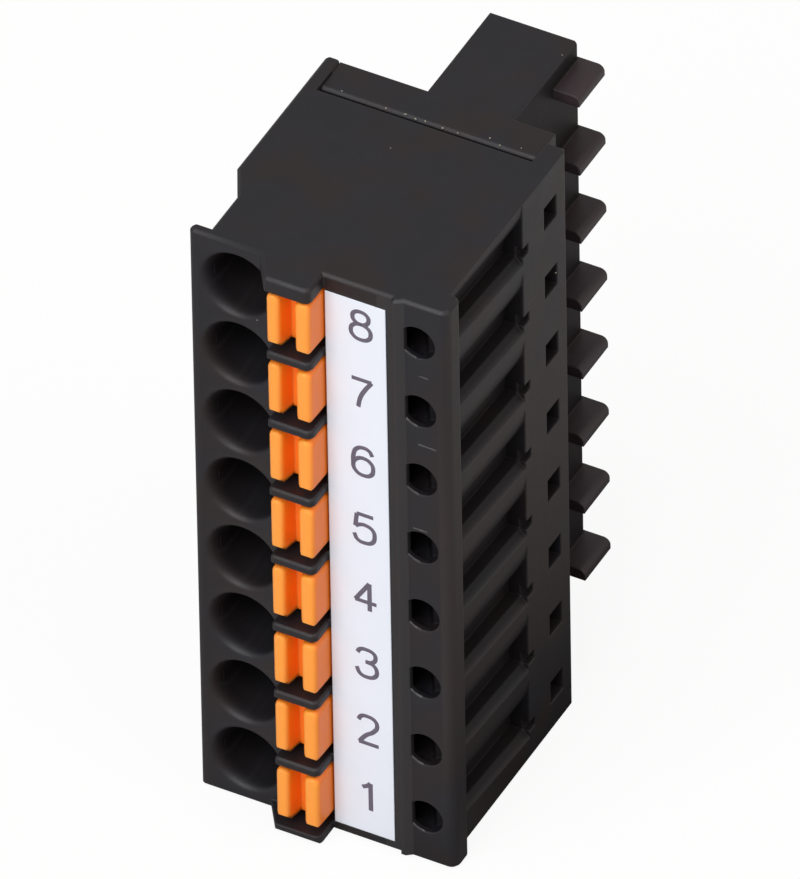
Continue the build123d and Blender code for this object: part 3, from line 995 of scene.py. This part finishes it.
class TERMINAL_OT_lip_highlights_and_scratches(bpy.types.Operator):
    """Paint highlights on the test holes' lips and scratch the front beside them"""

    bl_idname = "terminal.scuffs"
    bl_label = "Scuffs and painted light"

    def execute(self, context):
        surface = settings().surface
        values = {"Stroke": surface.lip_highlight_and_scratch_width, "Ink height": surface.lip_highlight_and_scratch_width / 6}
        lines = drawn_curves("scuffs", lip_highlight_and_scratch_lines())
        scuffs = made_mesh(lines, ink_tree(lip_highlights_and_scratches()), values, "front_lip_highlights_and_scratches")
        scuffs.data.transform(Matrix.Translation((0, FRONT_Y * MM, 0)))
        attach(scuffs, "block")
        return {"FINISHED"}


class TERMINAL_OT_dust(bpy.types.Operator):
    """Set specks of dust in the seams"""

    bl_idname = "terminal.dust"
    bl_label = "Dust"

    def execute(self, context):
        dust = settings().dust
        mesh = bpy.data.meshes.new("speck_points")
        mesh.from_pydata([Vector(place) * MM for place in SPECKS], [], [])
        values = {"Speck size": dust.speck_size, "Seed": dust.seed}
        points = new_object("speck_points", mesh)
        specks = made_mesh(points, dust_tree(dust_material()), values, "dust_specks")
        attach(specks, "block")
        return {"FINISHED"}


def direction(azimuth, elevation):
    """The way from the block to what stands at these angles from it."""
    level = math.cos(elevation)
    return Vector((math.sin(azimuth) * level, -math.cos(azimuth) * level, math.sin(elevation)))


def view_axes(stage):
    """The camera's right, up and backward directions."""
    backward = direction(stage.azimuth, stage.elevation)
    right = Vector((math.cos(stage.azimuth), math.sin(stage.azimuth), 0))
    up = backward.cross(right)
    turn = Matrix.Rotation(stage.roll, 3, backward)
    return turn @ right, turn @ up, backward


def add_camera(stage):
    """The camera at the photograph's angle."""
    right, up, backward = view_axes(stage)
    data = bpy.data.cameras.new("camera")
    data.sensor_fit = "VERTICAL"
    data.sensor_height = stage.sensor
    data.lens = stage.lens
    data.clip_start = 0.1
    data.clip_end = 20.0
    camera = new_object("camera", data)
    turn = Matrix((right, up, backward)).transposed().to_4x4()
    camera.matrix_world = Matrix.Translation(Vector(stage.aim) + stage.distance * backward) @ turn
    bpy.context.scene.camera = camera


def add_lamp(name, power, azimuth, elevation, distance, size, colour):
    """A square soft lamp that shines at the middle of the block."""
    away = direction(math.radians(azimuth), math.radians(elevation))
    data = bpy.data.lights.new(name, "AREA")
    data.shape = "SQUARE"
    data.size = size
    data.energy = power
    data.color = colour
    lamp = new_object(name, data)
    lamp.location = (CAD_BOX[0] + CAD_BOX[1]) / 2 + away * distance
    lamp.rotation_euler = away.to_track_quat("Z", "Y").to_euler()


def floor_material(stage):
    """Pale floor that the camera sees as nearly white, with the block's shadow left on it."""
    recipe = new_material("pale_floor")
    rays = recipe.node("ShaderNodeLightPath")
    place = recipe.place()
    tone = recipe.noise(place, 40.0, 2.0)
    seen = recipe.blend(tone, shade(stage.floor, 0.98), shade(stage.floor, 1.02))
    away = recipe.node("ShaderNodeVectorMath", {"operation": "LENGTH"}, {0: place})["Value"]
    rise = recipe.ramp(away / 60.0, (0.1, 0.0), (0.9, 1.0))
    behind = recipe.blend(rise, shade(stage.floor, stage.floor_near), shade(stage.floor, stage.floor_bounce))
    spot = recipe.node("ShaderNodeSeparateXYZ", None, {0: place})
    side = recipe.ramp((spot["X"] + spot["Y"]) / 40.0 + 0.5, (0.2, 0.0), (0.6, 1.0))
    bounce = recipe.blend(side, shade(stage.floor, stage.floor_front), behind)
    matt = recipe.matt(recipe.blend(rays["Is Camera Ray"], bounce, seen))
    white = recipe.node("ShaderNodeEmission", None, {"Color": WHITE, "Strength": 1.0})[0]
    return recipe.surface(recipe.mixed(rays["Is Camera Ray"] * stage.floor_glow, matt, white))


def add_floor(stage):
    """A wide floor at the block's foot."""
    half = FLOOR_HALF
    corners = [(-half, -half, 0), (half, -half, 0), (half, half, 0), (-half, half, 0)]
    mesh = bpy.data.meshes.new("floor")
    mesh.from_pydata(corners, [], [(0, 1, 2, 3)])
    floor = new_object("floor", mesh)
    floor.data.materials.append(floor_material(stage))


def add_sky(stage):
    """Even light from all round, seen as white by the camera."""
    world = bpy.data.worlds.new("studio")
    recipe = Recipe(world)
    rays = recipe.node("ShaderNodeLightPath")
    dim = recipe.node("ShaderNodeBackground", None, {"Color": WHITE, "Strength": stage.sky})[0]
    white = recipe.node("ShaderNodeBackground", None, {"Color": WHITE, "Strength": 1.0})[0]
    sky = recipe.mixed(rays["Is Camera Ray"], dim, white)
    recipe.node("ShaderNodeOutputWorld", None, {"Surface": sky})
    bpy.context.scene.world = world


class TERMINAL_OT_stage(bpy.types.Operator):
    """Set up the camera, the lamps, the floor and the sky"""

    bl_idname = "terminal.stage"
    bl_label = "Stage"

    def execute(self, context):
        stage = settings().stage
        context.scene.view_settings.view_transform = "Standard"
        add_camera(stage)
        add_lamp("key_lamp", stage.key_power, *LAMPS["key_lamp"])
        add_lamp("side_lamp", stage.side_power, *LAMPS["side_lamp"])
        add_floor(stage)
        add_sky(stage)
        return {"FINISHED"}


class TERMINAL_PT_panel(bpy.types.Panel):
    """Lists the steps that dress the terminal block"""

    bl_idname = "TERMINAL_PT_panel"
    bl_label = "Terminal block"
    bl_space_type = "VIEW_3D"
    bl_region_type = "UI"
    bl_category = "Terminal block"

    def draw(self, context):
        for step in STEPS:
            self.layout.operator(step.bl_idname)


STEPS = (
    TERMINAL_OT_mouldings, TERMINAL_OT_levers, TERMINAL_OT_metal, TERMINAL_OT_marker, TERMINAL_OT_lip_highlights_and_scratches,
    TERMINAL_OT_dust, TERMINAL_OT_stage,
)
CLASSES = (
    BlockColours, SurfaceDetail, MarkerPrint, DustSettings, StageSettings, TerminalBlockSettings, *STEPS,
    TERMINAL_PT_panel,
)


def register():
    for cls in CLASSES:
        bpy.utils.register_class(cls)
    bpy.types.Scene.terminal_block = PointerProperty(type=TerminalBlockSettings)


def unregister():
    del bpy.types.Scene.terminal_block
    for cls in reversed(CLASSES):
        bpy.utils.unregister_class(cls)


def main():
    register()
    bpy.ops.terminal.mouldings()
    bpy.ops.terminal.levers()
    bpy.ops.terminal.metal()
    bpy.ops.terminal.marker()
    bpy.ops.terminal.scuffs()
    bpy.ops.terminal.dust()
    bpy.ops.terminal.stage()
    bpy.context.view_layer.update()


if __name__ == "__main__":
    main()
